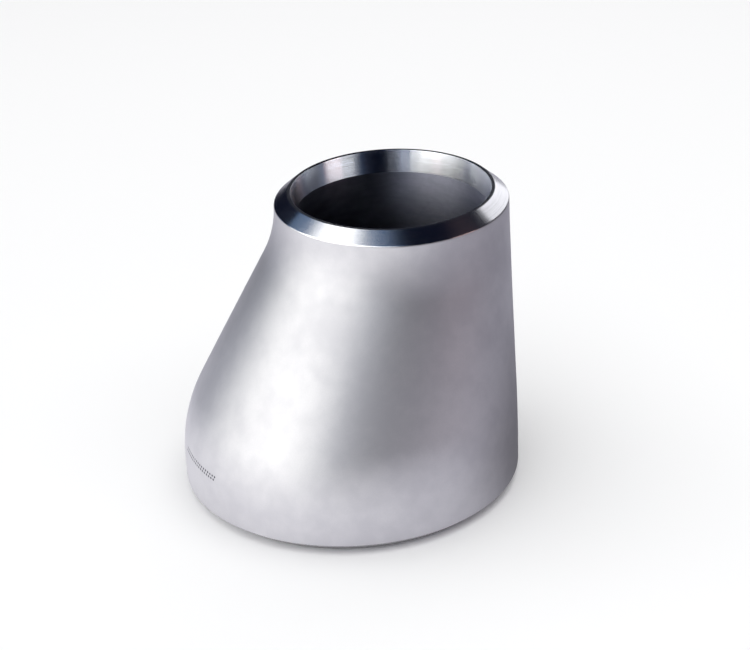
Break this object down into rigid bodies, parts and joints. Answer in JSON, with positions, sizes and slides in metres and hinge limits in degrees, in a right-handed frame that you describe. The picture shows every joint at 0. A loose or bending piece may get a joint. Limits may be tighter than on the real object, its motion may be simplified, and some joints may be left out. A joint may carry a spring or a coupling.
{
  "type": "eccentric pipe reducer",
  "caption": "Eccentric butt-weld pipe reducer in stainless steel: one flat side, one slanted side, and a bevelled weld end at each mouth.",
  "frame": {"origin": "centre of the large end's face, on which the fitting stands", "axes": "+Z runs from the large end to the small end, +X points to the flat side, and the XZ plane is the plane of symmetry; the small end's axis is at x = 25.5 mm"},
  "size_m": [0.159, 0.159, 0.14],
  "materials": {
    "stainless_steel": "bead-blasted and pickled outside, freshly turned at both weld ends, dull as-pressed bore"
  },
  "bodies": {
    "root": {"reducer_body": "stainless_steel"}
  },
  "joints": []
}
